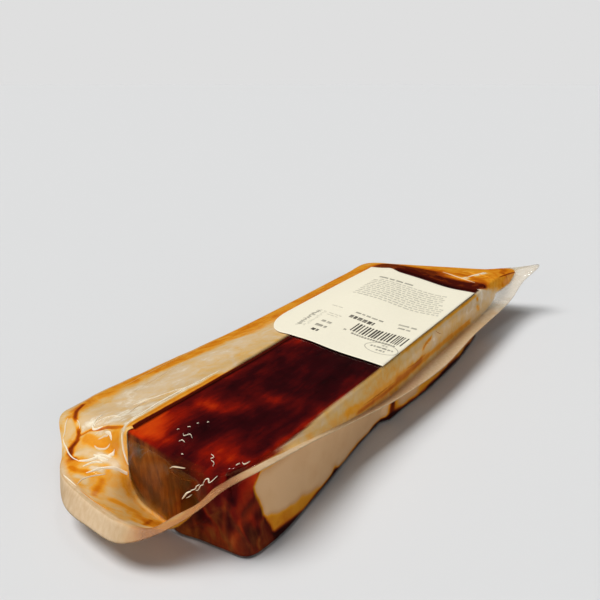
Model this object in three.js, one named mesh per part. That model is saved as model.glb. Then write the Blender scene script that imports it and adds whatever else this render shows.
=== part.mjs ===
// A slab of cured pork belly, sealed under vacuum between two clear films, with a paper weigh label.
// Lengths are in millimetres. While it is built, x runs across the slab from its middle, y along it from
// its near end, and z up from the floor. At the end everything moves so that the origin is the middle of
// the pack's bounding box, on the floor.
import * as THREE from "three";

// The slab, as it lies on its skin side.
const slabLength = 193.4;
const slabWidth = 47;
const slabHeight = 26.7;
const nearBulge = 4;          // the near end bows out this far at the top
const nearFootBulge = 2.9;    // and this far at the floor
const nearRightCut = 4.6;     // the near right corner of the top is pulled in this far
const nearRightCutLength = 80;  // and comes back out over this length
const nearRightTuck = 5;      // the wall under that corner is pulled in this far
const nearRightTuckLength = 36;
const farLeftRise = 4.3;      // the film stands this much higher along the far left edge
const topRounding = 2.2;      // reach of the rounding of the slab's upper edges
const footRounding = 1.6;     // and of its lower edges
const topUnevenness = 0.35;   // low waves in the upper face
const wallSpread = 3.5;       // the right wall's lower edge stands this far outside the slab's width
const pinchDepth = 4.7;       // but the film pinches it in by this much
const pinchStart = 14;        // from here on
const pinchPlace = 86;        // most of all here
const pinchSlip = 5;          // past that, half of the pinch is gone over this length
const pinchEnd = 126;         // and the rest of it here

// The pouch: two films that meet in a web round the slab and are sealed together at its rim.
const webThickness = 0.9;     // both films and the juice between them
const leftWeb = 43.4;         // from the slab's left wall to the crest of the seal
const leftWaist = 2.7;        // the left web is this much narrower half way along
const leftSealHeight = 15;
const leftSealDrop = 6.2;     // the seal's outer edge hangs below its crest
const leftSealWidth = 5.2;
const rightSealHeight = 13;   // where the films meet on the right wall
const rightSealRise = 12.6;   // at the near right corner they meet this much higher
const rightRiseLength = 90;   // and come down to seal height over this length
const rightSealWidth = 7.9;
const rightSealNarrow = 1.6;  // its width where it climbs
const rightSealFlare = 1.6;   // it is this much wider again at the near corner
const rightSealTilt = 1.1;    // the right seal's outer edge lies this much above the meeting line
const rightWaveLength = 64;   // the right seal is slack and wavy
const rightWaveDepth = 0.9;
const rightWaveTrough = 120;  // it hangs lowest here
const farSealAlong = 240.5;   // the crest of the far seal
const farSealHeight = 24.2;   // at its right end, falling towards the left corner
const farSealFall = 9.2;
const farSealWidth = 7;
const farSealDrop = 6.5;
const nearSealAlong = -19.4;
const nearSealHeight = 14.5;
const nearSealRim = 9;        // the height of its outer edge

// The weigh label lies on the upper film and over the slab's left edge.
const labelRight = 23.6;      // its right border, along the slab's right edge
const labelLeft = -44.8;
const labelNear = 82;
const labelNearSkew = 5;      // its near border runs this much further along at the slab's left edge
const labelCornerAlong = 32;  // its near left corner is cut in a round this long
const labelCornerPower = 1.7;  // 2 would be an ellipse's quarter
const labelFar = 183;
const labelFarSkew = 21;      // its far left corner lies this much further along
const labelFarBend = -17;     // its far border turns away there, across
const labelGap = 0.35;
const labelThickness = 0.4;

const footBend = 1.5;         // reach of the film's bend where it leaves the slab
const crestBend = 1.8;        // and of its bend over the seal's crest
const spokesPerStation = 4;
const halfWidth = slabWidth / 2;

const clamp01 = (value) => Math.min(1, Math.max(0, value));
const mix = (a, b, share) => a + (b - a) * share;

// 0 below start, 1 above end, with a smooth change between them.
function ease(start, end, value) {
  const share = clamp01((value - start) / (end - start));
  return share * share * (3 - 2 * share);
}

// The upper film's height over the slab: the slab's own height, the rise along the far left edge, the fall
// towards the near end, and low waves that fade out at the edges.
function slabTop(x, y) {
  const rise = farLeftRise * ease(60, 175, y) * ease(14, -halfWidth, x);
  const inside = clamp01((halfWidth - Math.abs(x)) / 12) * clamp01(y / 14) * clamp01((slabLength - y) / 14);
  const waves = Math.sin(x / 6.3 + y / 24) * Math.cos(y / 15.5 - x / 21);
  return slabHeight + rise - 0.35 * ease(4, -4, y) + topUnevenness * waves * inside;
}

// Stations round the slab, anticlockwise from its near left corner. At each one the film comes down from
// the slab's upper edge to the foot, where the two films meet, then goes out over the crest to the seal's
// rim. The base is the slab's lower edge. First the near side: the gutter in front of the slab, the pouch's
// rounded corner, and the seal that climbs from it to the slab's near right corner.
function nearStations() {
  const high = nearSealHeight;
  const low = nearSealRim;
  const out = nearSealAlong;
  const stations = [
    { edge: [-23.2, 0.2], foot: [-24.5, -0.9, 13], crest: [-36.5, -15, high], rim: [-30.8, -19.3, 8.4] },
    { edge: [-15.5, -1.4], foot: [-18, -1.9, 3.6], crest: [-17, out, high], rim: [-14, -22.7, low] },
    { edge: [-5, -3], foot: [-8, -2.9, 1.6], crest: [-3, out - 0.9, high], rim: [-3, -22.5, low] },
    { edge: [3.5, -nearBulge], foot: [-0.8, -3.7, 1.8], crest: [3.9, -17.3, 13.2], rim: [4.6, -19, 11.6] },
    { edge: [9.5, -nearBulge], foot: [5, -4.3, 7], crest: [7.1, -10.2, 14.5], rim: [10.9, -12.6, 15.2] },
    { edge: [14.5, -3.3], foot: [10.5, -4.3, 14.6], crest: [11.8, -6, 17.8], rim: [15, -7.6, 18.8] },
    { edge: [18, -1], foot: [15.2, -1.9, 21.4], crest: [16.4, -2.3, 23.2], rim: [20, -4.1, 24.2] },
  ];
  // The lower edge bows out most at deepest, and falls back further to the left of it than to the right.
  const deepest = 9;
  return stations.map((station, index) => {
    const x = mix(-halfWidth, halfWidth + 1.1, index / (stations.length - 1));
    const y = -nearFootBulge * Math.cos((Math.PI / 2) * ((x - deepest) / (x > deepest ? 18 : 34)));
    return { ...station, base: [x, y] };
  });
}

// How far the right wall's lower edge is drawn in at y: slowly deeper, back by half at once, then slowly to none.
function wallPinch(y) {
  const slipped = ease(pinchPlace, pinchPlace + pinchSlip, y);
  const faded = ease(pinchPlace + pinchSlip, pinchEnd, y);
  return pinchDepth * ease(pinchStart, pinchPlace, y) * (1 - 0.5 * slipped - 0.5 * faded);
}

// The right side: the films meet on the slab's wall, high at the near corner and at seal height further on.
function rightStation(y) {
  const meeting = rightSealHeight + rightSealRise * ease(rightRiseLength, 4, y);
  const edgeX = halfWidth + 0.5 - nearRightCut * Math.pow(clamp01(1 - y / nearRightCutLength), 2.4);
  const wallX = halfWidth + 1 - nearRightTuck * Math.pow(clamp01(1 - y / nearRightTuckLength), 2);
  const width = mix(rightSealNarrow, rightSealWidth, ease(60, 106, y)) + rightSealFlare * ease(30, 6, y);
  const tilt = (rightSealTilt * width) / rightSealWidth;
  const wavePhase = (2 * Math.PI * (y - rightWaveTrough)) / rightWaveLength;
  const wave = -rightWaveDepth * Math.cos(wavePhase) * ease(50, 90, y);
  return {
    edge: [edgeX, y],
    foot: [wallX, y, meeting],
    crest: [wallX + 0.4 * width, y, meeting + 0.4 * tilt + 0.3 * wave],
    rim: [wallX + width, y, meeting + tilt + wave],
    base: [halfWidth + wallSpread, y],
  };
}

// The far right corner, where the pouch runs on to a raised tip.
function tipStations() {
  return [
    { edge: [24, 191.2], foot: [26, 207, 17], crest: [28.6, 215.5, 15.8], rim: [32.8, 219, 15.4] },
    { edge: [23.6, 192.8], foot: [25, 214, 22], crest: [27.6, 232, 19.3], rim: [33.4, 237, 20.6] },
    { edge: [22.2, slabLength], foot: [23.8, 221, 26.2], crest: [26, 245, 24.6], rim: [37, 254, 27] },
  ];
}

// The far side: a web that falls gently to a seal whose rim hangs down. It fans out towards the left.
function farStation(x) {
  const left = clamp01((halfWidth - x) / slabWidth);
  const crestX = mix(18, -54, Math.pow(left, 1.35));
  const crestHeight = farSealHeight - farSealFall * clamp01((18 - crestX) / 84);
  return {
    edge: [x, slabLength],
    foot: [mix(x, crestX, 0.45), mix(slabLength, farSealAlong, 0.45), mix(26.4, 25.2, left)],
    crest: [crestX, farSealAlong, crestHeight],
    rim: [crestX + 1, farSealAlong + farSealWidth, crestHeight - farSealDrop],
  };
}

function farLeftStation() {
  return {
    edge: [-halfWidth, slabLength - 1.2],
    foot: [-41.5, 212, 24.6],
    crest: [-65.6, farSealAlong - 1, leftSealHeight],
    rim: [-69.8, farSealAlong + 4.5, leftSealHeight - leftSealDrop],
  };
}

// The left side: a broad web that leaves the slab's upper edge and falls to the seal.
function leftStation(y) {
  const waist = leftWaist * ease(30, 95, y) * ease(215, 120, y);
  const crestX = -halfWidth - leftWeb + waist;
  const along = y + 34 * ease(120, slabLength, y) + 4 * ease(60, 0, y);
  const nearLift = 3.2 * ease(48, 10, y);
  return {
    edge: [-halfWidth, y],
    foot: [-41.2, mix(y, along, 0.42), mix(22.4, 25, ease(20, 180, y)) - 0.6 * nearLift],
    crest: [crestX, along, leftSealHeight],
    rim: [crestX - leftSealWidth + 0.8 * nearLift, along + 1, leftSealHeight - leftSealDrop + nearLift],
  };
}

// The near left corner of the pouch is cut off straight, with a narrow rim.
function clippedCornerStations() {
  return [
    { edge: [-23.5, 4.2], foot: [-40, 5, 20.2], crest: [-63.2, 7.1, 15.2], rim: [-64.5, 6.1, 15] },
    { edge: [-23.5, 1.8], foot: [-34, 0.6, 17.6], crest: [-47.8, -4.9, 14.2], rim: [-48.5, -5.7, 13.6] },
  ];
}

const nearSide = nearStations();
const rightSide = [8, 30, 54, 84, 122, 160].map(rightStation);
const tipSide = tipStations();
const farSide = [14, 2, -10, -19].map(farStation);
const leftSide = [180, 140, 100, 60, 16].map(leftStation);
const stations = [...nearSide, ...rightSide, ...tipSide, ...farSide, farLeftStation(), ...leftSide,
  ...clippedCornerStations()];
const spokeCount = stations.length * spokesPerStation;
// The slab's four sides, counted in spokes: near and far sides are equal, and so are right and left.
const acrossCount = (nearSide.length - 1) * spokesPerStation;
const alongCount = spokeCount / 2 - acrossCount;

// A closed smooth curve through one kind of point of every station.
function railThrough(pointOf) {
  const points = stations.map((station) => new THREE.Vector3(...pointOf(station)));
  return new THREE.CatmullRomCurve3(points, true);
}
const edgeRail = railThrough(({ edge }) => [edge[0], edge[1], 0]);
const footRail = railThrough(({ foot }) => foot);
const crestRail = railThrough(({ crest }) => crest);
const rimRail = railThrough(({ rim }) => rim);
const baseRail = railThrough(({ edge, base = edge }) => [base[0], base[1], 0]);

// The point on the slab's middle line that a place on its outline is measured towards.
function middleOf(point) {
  return new THREE.Vector3(0, THREE.MathUtils.clamp(point.y, halfWidth, slabLength - halfWidth), point.z);
}

function stepTowards(from, to, reach) {
  return from.clone().lerp(to, Math.min(0.45, reach / from.distanceTo(to)));
}

// Points on the curve that leaves start towards bend and comes to end from it, both ends left out.
function bentLine(start, bend, end, count) {
  const curve = new THREE.QuadraticBezierCurve3(start, bend, end);
  return curve.getPoints(count + 1).slice(1, -1);
}

function roundedCorner(before, corner, after, reach) {
  const start = stepTowards(corner, before, reach);
  const end = stepTowards(corner, after, reach);
  return [start, ...bentLine(start, corner, end, 1), end];
}

function straightLine(start, end, count) {
  return Array.from({ length: count }, (unused, step) => start.clone().lerp(end, (step + 1) / (count + 1)));
}

// The pack's section along one spoke, from the slab's upper face out to the rim and back to its underside.
function sectionAt(turn) {
  const edge = edgeRail.getPoint(turn);
  edge.z = slabTop(edge.x, edge.y);
  const foot = footRail.getPoint(turn);
  const crest = crestRail.getPoint(turn);
  const rim = rimRail.getPoint(turn);
  const base = baseRail.getPoint(turn);
  if (base.x > 0) {
    base.x -= wallPinch(base.y);
  }
  const down = new THREE.Vector3(0, 0, -webThickness);

  const upperEdge = roundedCorner(middleOf(edge), edge, foot, topRounding);
  const upperFoot = roundedCorner(edge, foot, crest, footBend);
  const upperCrest = roundedCorner(foot, crest, rim, crestBend);
  const wall = straightLine(upperEdge[2], upperFoot[0], 1);
  const web = straightLine(upperFoot[2], upperCrest[0], 2);

  const lowerRim = rim.clone().add(down);
  const lowerCrest = crest.clone().add(down);
  const lowerFoot = foot.clone().add(down);
  const tuckedIn = new THREE.Vector3(base.x, base.y, lowerFoot.z);
  const wallFoot = new THREE.Vector3(base.x, base.y, Math.min(1.4 * footRounding, 0.6 * lowerFoot.z));
  const bottom = stepTowards(base, middleOf(base), footRounding);
  return [
    ...upperEdge, ...wall, ...upperFoot, ...web, ...upperCrest, rim,
    lowerRim, lowerCrest, ...straightLine(lowerCrest, lowerFoot, 1), lowerFoot,
    ...bentLine(lowerFoot, tuckedIn, wallFoot, 3), wallFoot, ...bentLine(wallFoot, base, bottom, 1), bottom,
  ];
}

// A grid that fills a closed loop of points, each inner point blended from the four sides. Its height comes
// from heightAt.
function fillLoop(loop, heightAt) {
  const near = (across) => loop[across];
  const right = (along) => loop[acrossCount + along];
  const far = (across) => loop[2 * acrossCount + alongCount - across];
  const left = (along) => loop[(spokeCount - along) % spokeCount];
  const inner = [];
  for (let along = 1; along < alongCount; along += 1) {
    for (let across = 1; across < acrossCount; across += 1) {
      const u = across / acrossCount;
      const v = along / alongCount;
      const blend = (axis) => {
        const lengthwise = mix(near(across)[axis], far(across)[axis], v);
        const crosswise = mix(left(along)[axis], right(along)[axis], u);
        const nearCorners = mix(near(0)[axis], near(acrossCount)[axis], u);
        const farCorners = mix(far(0)[axis], far(acrossCount)[axis], u);
        return lengthwise + crosswise - mix(nearCorners, farCorners, v);
      };
      const [x, y] = [blend("x"), blend("y")];
      inner.push(new THREE.Vector3(x, y, heightAt(x, y)));
    }
  }
  return inner;
}

// Triangles of that grid. firstRing is the index of the loop's first point, firstInner that of the first
// inner one.
function fillTriangles(firstRing, firstInner, facesUp) {
  const indexOf = (across, along) => {
    if (along === 0) return firstRing + across;
    if (across === acrossCount) return firstRing + acrossCount + along;
    if (along === alongCount) return firstRing + 2 * acrossCount + alongCount - across;
    if (across === 0) return firstRing + spokeCount - along;
    return firstInner + (along - 1) * (acrossCount - 1) + across - 1;
  };
  const triangles = [];
  for (let along = 0; along < alongCount; along += 1) {
    for (let across = 0; across < acrossCount; across += 1) {
      const corners = [[0, 0], [1, 0], [1, 1], [0, 1]].map(([a, b]) => indexOf(across + a, along + b));
      triangles.push(...quad(...(facesUp ? corners : corners.reverse())));
    }
  }
  return triangles;
}

function quad(a, b, c, d) {
  return [a, b, c, a, c, d];
}

// The whole pack as one closed surface: sections joined round the slab, and the slab's two faces.
function packSurface() {
  const sections = Array.from({ length: spokeCount }, (unused, spoke) => sectionAt(spoke / spokeCount));
  const ringCount = sections[0].length;
  const points = [];
  const triangles = [];
  for (let ring = 0; ring < ringCount; ring += 1) {
    points.push(...sections.map((section) => section[ring]));
  }
  for (let ring = 0; ring + 1 < ringCount; ring += 1) {
    for (let spoke = 0; spoke < spokeCount; spoke += 1) {
      const next = (spoke + 1) % spokeCount;
      const inner = ring * spokeCount;
      const outer = inner + spokeCount;
      triangles.push(...quad(inner + spoke, outer + spoke, outer + next, inner + next));
    }
  }
  const lastRing = (ringCount - 1) * spokeCount;
  const faces = [
    { firstRing: 0, heightAt: slabTop, facesUp: true },
    { firstRing: lastRing, heightAt: () => 0, facesUp: false },
  ];
  for (const { firstRing, heightAt, facesUp } of faces) {
    const loop = points.slice(firstRing, firstRing + spokeCount);
    const firstInner = points.length;
    points.push(...fillLoop(loop, heightAt));
    triangles.push(...fillTriangles(firstRing, firstInner, facesUp));
  }
  return { points, triangles };
}

// The height of the highest triangle above or below a place on the plan.
function heightOver({ points, triangles }, x, y) {
  let highest = -Infinity;
  for (let first = 0; first < triangles.length; first += 3) {
    const [a, b, c] = [0, 1, 2].map((corner) => points[triangles[first + corner]]);
    const area = (b.x - a.x) * (c.y - a.y) - (c.x - a.x) * (b.y - a.y);
    if (area <= 1e-9) continue;
    const shareB = ((x - a.x) * (c.y - a.y) - (c.x - a.x) * (y - a.y)) / area;
    const shareC = ((b.x - a.x) * (y - a.y) - (x - a.x) * (b.y - a.y)) / area;
    if (shareB < 0 || shareC < 0 || shareB + shareC > 1) continue;
    highest = Math.max(highest, a.z + shareB * (b.z - a.z) + shareC * (c.z - a.z));
  }
  return highest;
}

// The same, for the highest place within reach, so that a stiff sheet laid there clears every ridge.
function clearHeight(surface, x, y, reach) {
  const steps = [-reach, 0, reach];
  return Math.max(...steps.flatMap((dx) => steps.map((dy) => heightOver(surface, x + dx, y + dy))));
}

// The label's near and far borders at a distance across.
function labelBorders(x) {
  const onSlab = clamp01((labelRight - x) / (labelRight + halfWidth));
  const onWeb = clamp01((-halfWidth - x) / (-halfWidth - labelLeft));
  const corner = 1 - Math.pow(1 - Math.pow(onWeb, labelCornerPower), 1 / labelCornerPower);
  return {
    near: labelNear + labelNearSkew * onSlab + labelCornerAlong * corner,
    far: labelFar + labelFarSkew * Math.pow(clamp01((labelFarBend - x) / (labelFarBend - labelLeft)), 1.3),
  };
}

// The label: a sheet that follows the upper film at a small gap.
function labelSurface(pack) {
  const slabColumns = 11;
  const webColumns = 9;
  const columns = slabColumns + webColumns;
  const rows = 16;
  const rowLength = columns + 1;
  const webReach = -halfWidth - labelLeft;
  const under = [];
  for (let row = 0; row <= rows; row += 1) {
    for (let column = 0; column <= columns; column += 1) {
      const onSlab = Math.min(1, column / slabColumns);
      const onWeb = Math.max(0, (column - slabColumns) / webColumns);
      const x = mix(labelRight, -halfWidth, onSlab) - webReach * Math.sin((Math.PI / 2) * onWeb);
      const { near, far } = labelBorders(x);
      const y = mix(near, far, row / rows);
      under.push(new THREE.Vector3(x, y, clearHeight(pack, x, y, 1.2) + labelGap));
    }
  }
  const over = under.map((point) => point.clone().setZ(point.z + labelThickness));
  const triangles = [];
  for (let row = 0; row < rows; row += 1) {
    for (let column = 0; column < columns; column += 1) {
      const first = row * rowLength + column;
      const cell = [first, first + 1, first + rowLength + 1, first + rowLength];
      triangles.push(...quad(...cell));
      triangles.push(...quad(...cell.map((index) => index + under.length).reverse()));
    }
  }
  const border = [
    ...Array.from({ length: columns }, (unused, step) => step),
    ...Array.from({ length: rows }, (unused, step) => columns + step * rowLength),
    ...Array.from({ length: columns }, (unused, step) => under.length - 1 - step),
    ...Array.from({ length: rows }, (unused, step) => (rows - step) * rowLength),
  ];
  border.forEach((index, step) => {
    const next = border[(step + 1) % border.length];
    triangles.push(...quad(next, index, index + under.length, next + under.length));
  });
  return { points: [...under, ...over], triangles };
}

function meshOf(name, { points, triangles }, finish) {
  const geometry = new THREE.BufferGeometry().setFromPoints(points);
  geometry.setIndex(triangles);
  geometry.computeVertexNormals();
  const mesh = new THREE.Mesh(geometry, new THREE.MeshStandardMaterial(finish));
  mesh.name = name;
  return mesh;
}

const pack = packSurface();
const label = labelSurface(pack);
const part = new THREE.Group();
part.name = "vacuum_packed_pork_belly_slab";
part.add(
  meshOf("vacuum_pack", pack, { color: 0x5a2214, roughness: 0.25, metalness: 0 }),
  meshOf("weigh_label", label, { color: 0xe9e2cf, roughness: 0.7, metalness: 0 }),
);

// The origin goes to the middle of the pack's bounding box, on the floor.
const bounds = new THREE.Box3().setFromPoints(pack.points);
const centre = bounds.getCenter(new THREE.Vector3());
for (const mesh of part.children) {
  mesh.geometry.translate(-centre.x, -centre.y, -bounds.min.z);
}

export default part;
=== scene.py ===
import math
from functools import partial

import bpy
import numpy as np
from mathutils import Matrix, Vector


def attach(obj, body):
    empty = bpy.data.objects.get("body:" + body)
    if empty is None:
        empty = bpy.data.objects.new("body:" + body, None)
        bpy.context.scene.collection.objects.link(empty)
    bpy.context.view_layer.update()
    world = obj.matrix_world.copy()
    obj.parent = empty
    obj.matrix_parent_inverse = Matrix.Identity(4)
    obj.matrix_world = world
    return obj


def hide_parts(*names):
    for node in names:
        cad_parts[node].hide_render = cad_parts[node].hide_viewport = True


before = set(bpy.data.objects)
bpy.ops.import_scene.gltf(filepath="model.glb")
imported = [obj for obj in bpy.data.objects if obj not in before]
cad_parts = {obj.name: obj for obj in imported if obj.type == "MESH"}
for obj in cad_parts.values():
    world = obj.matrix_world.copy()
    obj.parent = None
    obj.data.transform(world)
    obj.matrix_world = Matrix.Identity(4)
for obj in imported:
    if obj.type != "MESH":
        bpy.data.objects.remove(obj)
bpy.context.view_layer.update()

# Everything is worked out in millimetres in the slab's own frame: x across the slab from its middle line, y
# along it from its near end, z up from the floor. A mesh is made from it in the row frame, in metres.
mm = 0.001

camera = {
    "place": (132.296, -225.262, 127.17),    # in the row frame, mm
    "turnedLeft": 33.76,                     # degrees
    "tiltedDown": 19.42,
    "lens": 37.48,
    "sensor": 36,
    "clip": (0.005, 50),                     # metres
}


def placeCamera():
    # it looks along +Y, turned to the left and then tilted down
    data = bpy.data.cameras.new("camera")
    data.lens, data.sensor_width = camera["lens"], camera["sensor"]
    data.clip_start, data.clip_end = camera["clip"]
    eye = bpy.data.objects.new("camera", data)
    eye.location = [value * mm for value in camera["place"]]
    eye.rotation_euler = (math.radians(90 - camera["tiltedDown"]), 0, math.radians(camera["turnedLeft"]))
    bpy.context.scene.collection.objects.link(eye)
    bpy.context.scene.camera = eye


placeCamera()
print("camera placed")


def clamp01(value):
    # the value, kept between 0 and 1
    return np.clip(value, 0, 1)


def mix(a, b, share):
    # a at share 0, b at share 1, and a straight line between and past them
    return a + (b - a) * share


def ease(start, end, value):
    # 0 below start, 1 above end, s*s*(3 - 2s) between them
    share = clamp01((value - start) / (end - start))
    return share * share * (3 - 2 * share)


def bump(distance, reach):
    # exp(-(distance/reach)^2), a soft spot
    return np.exp(-(distance / reach) ** 2)


def lattice(x, y, seed):
    # smooth value noise in [-1, 1] on a unit lattice: corner values from a seeded table, blended by ease
    size = 64
    table = np.random.default_rng(seed).uniform(-1, 1, (size, size))
    column, row = np.floor(x).astype(int), np.floor(y).astype(int)
    u, v = ease(0, 1, x - column), ease(0, 1, y - row)
    near, far = (mix(table[column % size, side % size], table[(column + 1) % size, side % size], u)
                 for side in (row, row + 1))
    return mix(near, far, v)


def clouds(x, y, size, seed):
    # three lattices, each half the size and strength of the one before, over the sum of their strengths
    total = 0
    for octave in range(3):
        scale = 2 ** octave / size
        layer = lattice(x * scale + 7.3 * octave, y * scale + 3.1 * octave, seed + octave)
        total = total + layer / 2 ** octave
    return total / (1 + 1 / 2 + 1 / 4)


slab = {
    "length": 193.4,
    "width": 47.0,
    "height": 26.7,
    "nearDrop": 0.35,               # the top falls this much at the near end
    "nearFootBulge": 2.9,           # the near end bows out this far at the floor
    "nearRightCut": 4.6,            # the top's near right corner is pulled in this far
    "nearRightTuck": (5.0, 36.0),   # the wall under that corner is pulled in this far, over this length
    "farLeftRise": 4.3,             # the film stands this much higher along the far left edge
    "topRounding": 2.2,
    "footRounding": 1.6,
    "unevenness": 0.35,
    "wallSpread": 3.5,              # the right wall's lower edge stands this far outside the slab's width
    # but is drawn in: depth, start, deepest place, length of the slip back by half, end
    "wallPinch": (4.7, 14.0, 86.0, 5.0, 126.0),
}

pouch = {
    "leftWeb": 43.4,                    # from the slab's left wall to the crest of the seal
    "leftWaist": 2.7,
    "leftSeal": (15.0, 6.2, 5.2),       # height of the crest, drop of the rim, width
    "rightSeal": (13.0, 12.6, 90.0),    # height, extra height at the near corner, length of that climb
    "rightSealWidth": (1.6, 7.9, 1.6),  # where it climbs, further along, and how much more at the corner
    "rightSealTilt": 1.1,
    "rightWave": (64.0, 0.9, 120.0),    # the slack seal waves: length, depth, place where it hangs lowest
    "farSeal": (240.5, 24.2, 9.2, 7.0, 6.5),    # place along, height at the right, fall leftwards, width,
                                                # drop of the rim
    "nearFold": (1.7, 1.0, 5.5),        # a fold of film under the near rim: depth, middle, reach
    "filmGap": 0.45,                    # between the two films of the web, where the juice lies
}

halfWidth = slab["width"] / 2


def slabTop(x, y):
    # slab height + rise along the far left edge - fall at the near end + low waves that fade out at the edges
    rise = slab["farLeftRise"] * ease(60, 175, y) * ease(14, -halfWidth, x)
    fall = slab["nearDrop"] * ease(4, -4, y)
    inside = clamp01((halfWidth - np.abs(x)) / 12) * clamp01(y / 14) * clamp01((slab["length"] - y) / 14)
    waves = np.sin(x / 6.3 + y / 24) * np.cos(y / 15.5 - x / 21)
    return slab["height"] + rise - fall + slab["unevenness"] * waves * inside


# A station is one place round the pack, as five points: the slab's upper edge, the foot where the film turns
# into the web, the crest of the seal, its rim, and the base on the floor.


def nearStations():
    # from the near left corner to the near right one; the base bows out as a cosine, plus the fold of film
    rows = [
        ((-23.2, 0.2), (-24.5, -0.9, 13), (-36.5, -15, 14.5), (-30.8, -19.3, 8.4)),
        ((-15.5, -1.4), (-18, -1.9, 3.6), (-17, -19.4, 14.5), (-14, -22.7, 9)),
        ((-5, -3), (-8, -2.9, 1.6), (-3, -20.3, 14.5), (-3, -22.5, 9)),
        ((3.5, -4), (-0.8, -3.7, 1.8), (3.9, -17.3, 13.2), (4.6, -19, 11.6)),
        ((9.5, -4), (5, -4.3, 7), (7.1, -10.2, 14.5), (10.9, -12.6, 15.2)),
        ((14.5, -3.3), (10.5, -4.3, 14.6), (11.8, -6, 17.8), (15, -7.6, 18.8)),
        ((18, -1), (15.2, -1.9, 21.4), (16.4, -2.3, 23.2), (20, -4.1, 24.2)),
    ]
    depth, middle, foldReach = pouch["nearFold"]
    bulgeMiddle = 9
    found = []
    for index, row in enumerate(rows):
        x = mix(-halfWidth, halfWidth + 1.1, index / 6)
        reach = 18 if x > bulgeMiddle else 34
        bulge = slab["nearFootBulge"] * math.cos(math.pi / 2 * (x - bulgeMiddle) / reach)
        fold = depth * math.exp(-((x - middle) / foldReach) ** 2)
        found.append(row + ((x, -bulge - fold),))
    return found


def wallPinch(y):
    # drawn in slowly deeper, back by half at once, then slowly to none
    depth, start, deepest, slip, end = slab["wallPinch"]
    slipped = 0.5 * ease(deepest, deepest + slip, y) + 0.5 * ease(deepest + slip, end, y)
    return depth * ease(start, deepest, y) * (1 - slipped)


def rightStation(y):
    # the seal meets the right wall, climbs towards the near corner and waves as a cosine further along
    height, rise, length = pouch["rightSeal"]
    meeting = height + rise * ease(length, 4, y)
    edgeX = halfWidth + 0.5 - slab["nearRightCut"] * clamp01(1 - y / 80) ** 2.4
    tuck, tuckLength = slab["nearRightTuck"]
    wallX = halfWidth + 1 - tuck * clamp01(1 - y / tuckLength) ** 2
    narrow, wide, flare = pouch["rightSealWidth"]
    width = mix(narrow, wide, ease(60, 106, y)) + flare * ease(30, 6, y)
    tilt = pouch["rightSealTilt"] * width / wide
    waveLength, waveDepth, trough = pouch["rightWave"]
    wave = -waveDepth * math.cos(2 * math.pi * (y - trough) / waveLength) * ease(50, 90, y)
    return ((edgeX, y), (wallX, y, meeting), (wallX + 0.4 * width, y, meeting + 0.4 * tilt + 0.3 * wave),
            (wallX + width, y, meeting + tilt + wave), (halfWidth + slab["wallSpread"], y))


def tipStations():
    # the far right corner, where the seal spreads out and rises to a tip; the wall under it is upright
    rows = [
        ((24, 191.2), (26, 207, 17), (28.6, 215.5, 15.8), (32.8, 219, 15.4)),
        ((23.6, 192.8), (25, 214, 22), (27.6, 232, 19.3), (33.4, 237, 20.6)),
        ((22.2, slab["length"]), (23.8, 221, 26.2), (26, 245, 24.6), (37, 254, 27)),
    ]
    return [row + row[:1] for row in rows]


def farStation(x):
    # the crest runs straight across, lower to the left, and spreads out from the slab's width
    along, height, fall, width, drop = pouch["farSeal"]
    left = clamp01((halfWidth - x) / slab["width"])
    crestX = mix(18, -54, left ** 1.35)
    crestZ = height - fall * clamp01((18 - crestX) / 84)
    edge = (x, slab["length"])
    foot = (mix(x, crestX, 0.45), mix(slab["length"], along, 0.45), mix(26.4, 25.2, left))
    return edge, foot, (crestX, along, crestZ), (crestX + 1, along + width, crestZ - drop), edge


def farLeftStation():
    # the far left corner, where the far seal turns into the left one
    along = pouch["farSeal"][0]
    crestZ, drop, _ = pouch["leftSeal"]
    edge = (-halfWidth, slab["length"] - 1.2)
    return edge, (-41.5, 212, 24.6), (-65.6, along - 1, crestZ), (-69.8, along + 4.5, crestZ - drop), edge


def leftStation(y):
    # the crest keeps its distance from the wall but for a waist, and its rim lifts towards the near end
    crestZ, drop, width = pouch["leftSeal"]
    crestX = -halfWidth - pouch["leftWeb"] + pouch["leftWaist"] * ease(30, 95, y) * ease(215, 120, y)
    along = y + 34 * ease(120, slab["length"], y) + 4 * ease(60, 0, y)
    lift = 3.2 * ease(48, 10, y)
    edge = (-halfWidth, y)
    foot = (-41.2, mix(y, along, 0.42), mix(22.4, 25, ease(20, 180, y)) - 0.6 * lift)
    rim = (crestX - width + 0.8 * lift, along + 1, crestZ - drop + lift)
    return edge, foot, (crestX, along, crestZ), rim, edge


def clippedCornerStations():
    # the near left corner of the web, cut off straight
    rows = [
        ((-23.5, 4.2), (-40, 5, 20.2), (-63.2, 7.1, 15.2), (-64.5, 6.1, 15)),
        ((-23.5, 1.8), (-34, 0.6, 17.6), (-47.8, -4.9, 14.2), (-48.5, -5.7, 13.6)),
    ]
    return [row + row[:1] for row in rows]


stations = (nearStations() + [rightStation(y) for y in (8, 30, 54, 84, 122, 160)] + tipStations()
            + [farStation(x) for x in (14, 2, -10, -19)] + [farLeftStation()]
            + [leftStation(y) for y in (180, 140, 100, 60, 16)] + clippedCornerStations())
stationCount = len(stations)


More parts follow.
